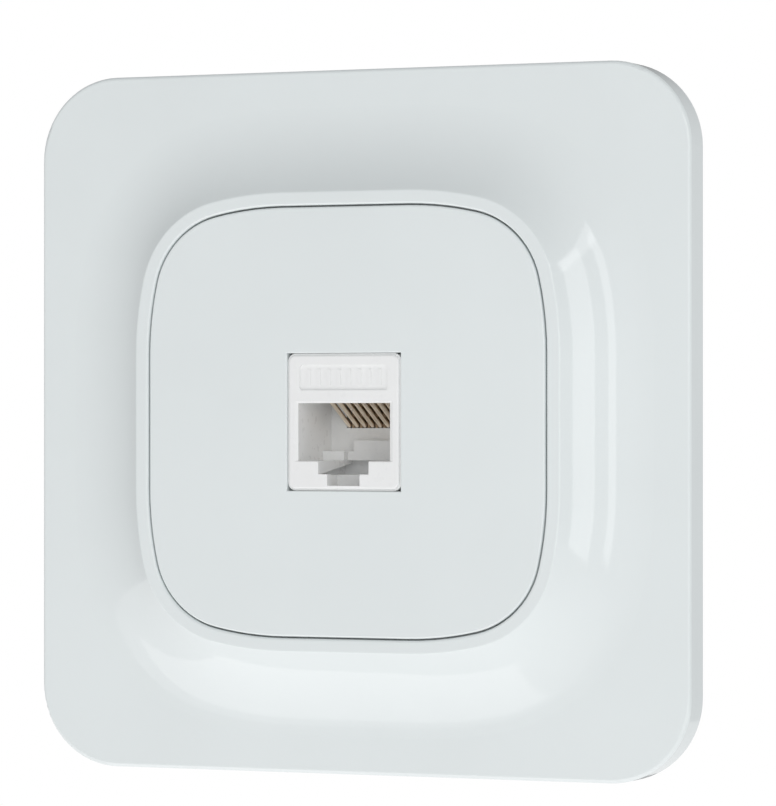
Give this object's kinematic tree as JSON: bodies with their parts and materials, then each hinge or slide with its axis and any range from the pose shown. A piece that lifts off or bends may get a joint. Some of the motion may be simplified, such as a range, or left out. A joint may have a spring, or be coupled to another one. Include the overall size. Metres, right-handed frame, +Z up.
{
  "type": "network wall outlet",
  "caption": "Square flush wall outlet with a raised-rim frame, a squircle centre plate and a snap-in modular network jack, on a steel support plate with spreading claws.",
  "frame": {"origin": "centre of the support plate's rear face, on the wall surface, midway between its screw slots", "axes": "-Y out of the wall towards the user, +X to the right as seen from the front, +Z up"},
  "size_m": [0.084, 0.0307, 0.084],
  "materials": {
    "frame_plastic": "glossy moulded white",
    "plate_plastic": "glossy moulded white",
    "jack_plastic": "satin moulded white",
    "carrier_plastic": "satin moulded off-white",
    "cap_plastic": "translucent grey moulding",
    "comb_plastic": "satin moulded dark brown",
    "support_steel": "zinc-plated sheet steel",
    "claw_steel": "zinc-plated steel, pressed",
    "screw_steel": "bright zinc-plated screw",
    "contact_gold": "thin gold plating over phosphor bronze",
    "terminal_tin": "tin-plated phosphor bronze",
    "board_green": "green solder mask"
  },
  "bodies": {
    "support": {"support_plate": "support_steel", "jack_carrier": "carrier_plastic", "carrier_screws": "screw_steel", "jack_housing": "jack_plastic", "contact_leads": "contact_gold", "contact_comb": "comb_plastic", "circuit_board": "board_green", "idc_block": "jack_plastic", "idc_terminals": "terminal_tin", "claw_pin_left": "screw_steel", "claw_pin_right": "screw_steel"},
    "frame": {"outer_frame": "frame_plastic"},
    "plate": {"centre_plate": "plate_plastic"},
    "latch": {"jack_latch": "jack_plastic"},
    "contact_1": {"contact_1": "contact_gold"},
    "contact_2": {"contact_2": "contact_gold"},
    "contact_3": {"contact_3": "contact_gold"},
    "contact_4": {"contact_4": "contact_gold"},
    "contact_5": {"contact_5": "contact_gold"},
    "contact_6": {"contact_6": "contact_gold"},
    "contact_7": {"contact_7": "contact_gold"},
    "contact_8": {"contact_8": "contact_gold"},
    "idc_cap_left": {"idc_cap_left": "cap_plastic"},
    "claw_left": {"claw_left": "claw_steel"},
    "claw_screw_left": {"claw_screw_left": "screw_steel"},
    "claw_nut_left": {"claw_nut_left": "claw_steel"},
    "idc_cap_right": {"idc_cap_right": "cap_plastic"},
    "claw_right": {"claw_right": "claw_steel"},
    "claw_screw_right": {"claw_screw_right": "screw_steel"},
    "claw_nut_right": {"claw_nut_right": "claw_steel"}
  },
  "joints": [
    {"name": "frame_pull", "type": "slide", "parent": "support", "child": "frame", "axis": [0, -1, 0], "range_m": [0, 0.015]},
    {"name": "plate_pull", "type": "slide", "parent": "frame", "child": "plate", "axis": [0, -1, 0], "range_m": [0, 0.015]},
    {"name": "latch_press", "type": "hinge", "parent": "support", "child": "latch", "pos_m": [0, -0.0026, 0.0073], "axis": [-1, 0, 0], "range_deg": [0, 10], "stiffness_Nm_per_rad": 0.05},
    {"name": "contact_1_press", "type": "hinge", "parent": "support", "child": "contact_1", "pos_m": [-0.00357, -0.0056, 0.00355], "axis": [1, 0, 0], "range_deg": [0, 12], "stiffness_Nm_per_rad": 0.02},
    {"name": "contact_2_press", "type": "hinge", "parent": "support", "child": "contact_2", "pos_m": [-0.00255, -0.0056, 0.00355], "axis": [1, 0, 0], "range_deg": [0, 12], "stiffness_Nm_per_rad": 0.02},
    {"name": "contact_3_press", "type": "hinge", "parent": "support", "child": "contact_3", "pos_m": [-0.00153, -0.0056, 0.00355], "axis": [1, 0, 0], "range_deg": [0, 12], "stiffness_Nm_per_rad": 0.02},
    {"name": "contact_4_press", "type": "hinge", "parent": "support", "child": "contact_4", "pos_m": [-0.00051, -0.0056, 0.00355], "axis": [1, 0, 0], "range_deg": [0, 12], "stiffness_Nm_per_rad": 0.02},
    {"name": "contact_5_press", "type": "hinge", "parent": "support", "child": "contact_5", "pos_m": [0.00051, -0.0056, 0.00355], "axis": [1, 0, 0], "range_deg": [0, 12], "stiffness_Nm_per_rad": 0.02},
    {"name": "contact_6_press", "type": "hinge", "parent": "support", "child": "contact_6", "pos_m": [0.00153, -0.0056, 0.00355], "axis": [1, 0, 0], "range_deg": [0, 12], "stiffness_Nm_per_rad": 0.02},
    {"name": "contact_7_press", "type": "hinge", "parent": "support", "child": "contact_7", "pos_m": [0.00255, -0.0056, 0.00355], "axis": [1, 0, 0], "range_deg": [0, 12], "stiffness_Nm_per_rad": 0.02},
    {"name": "contact_8_press", "type": "hinge", "parent": "support", "child": "contact_8", "pos_m": [0.00357, -0.0056, 0.00355], "axis": [1, 0, 0], "range_deg": [0, 12], "stiffness_Nm_per_rad": 0.02},
    {"name": "idc_cap_left_pull", "type": "slide", "parent": "support", "child": "idc_cap_left", "axis": [0, 1, 0], "range_m": [0, 0.008]},
    {"name": "claw_screw_left_turn", "type": "hinge", "parent": "support", "child": "claw_screw_left", "pos_m": [-0.0175, 0, 0], "axis": [0, 1, 0], "range_deg": [0, 5040]},
    {"name": "claw_left_swing", "type": "hinge", "parent": "support", "child": "claw_left", "pos_m": [-0.0245, 0.0026, 0], "axis": [0, 0, 1], "range_deg": [0, 18]},
    {"name": "claw_nut_left_travel", "type": "slide", "parent": "support", "child": "claw_nut_left", "axis": [0, -1, 0], "range_m": [0, 0.007]},
    {"name": "idc_cap_right_pull", "type": "slide", "parent": "support", "child": "idc_cap_right", "axis": [0, 1, 0], "range_m": [0, 0.008]},
    {"name": "claw_screw_right_turn", "type": "hinge", "parent": "support", "child": "claw_screw_right", "pos_m": [0.0175, 0, 0], "axis": [0, 1, 0], "range_deg": [0, 5040]},
    {"name": "claw_right_swing", "type": "hinge", "parent": "support", "child": "claw_right", "pos_m": [0.0245, 0.0026, 0], "axis": [0, 0, -1], "range_deg": [0, 18]},
    {"name": "claw_nut_right_travel", "type": "slide", "parent": "support", "child": "claw_nut_right", "axis": [0, -1, 0], "range_m": [0, 0.007]}
  ],
  "couplings": [
    {"joint": "contact_2_press", "follows": "contact_1_press", "ratio": 1},
    {"joint": "contact_3_press", "follows": "contact_1_press", "ratio": 1},
    {"joint": "contact_4_press", "follows": "contact_1_press", "ratio": 1},
    {"joint": "contact_5_press", "follows": "contact_1_press", "ratio": 1},
    {"joint": "contact_6_press", "follows": "contact_1_press", "ratio": 1},
    {"joint": "contact_7_press", "follows": "contact_1_press", "ratio": 1},
    {"joint": "contact_8_press", "follows": "contact_1_press", "ratio": 1},
    {"joint": "claw_left_swing", "follows": "claw_nut_left_travel", "rad_per_m": 44.88},
    {"joint": "claw_screw_left_turn", "follows": "claw_nut_left_travel", "rad_per_m": 12566},
    {"joint": "claw_right_swing", "follows": "claw_nut_right_travel", "rad_per_m": 44.88},
    {"joint": "claw_screw_right_turn", "follows": "claw_nut_right_travel", "rad_per_m": 12566}
  ]
}
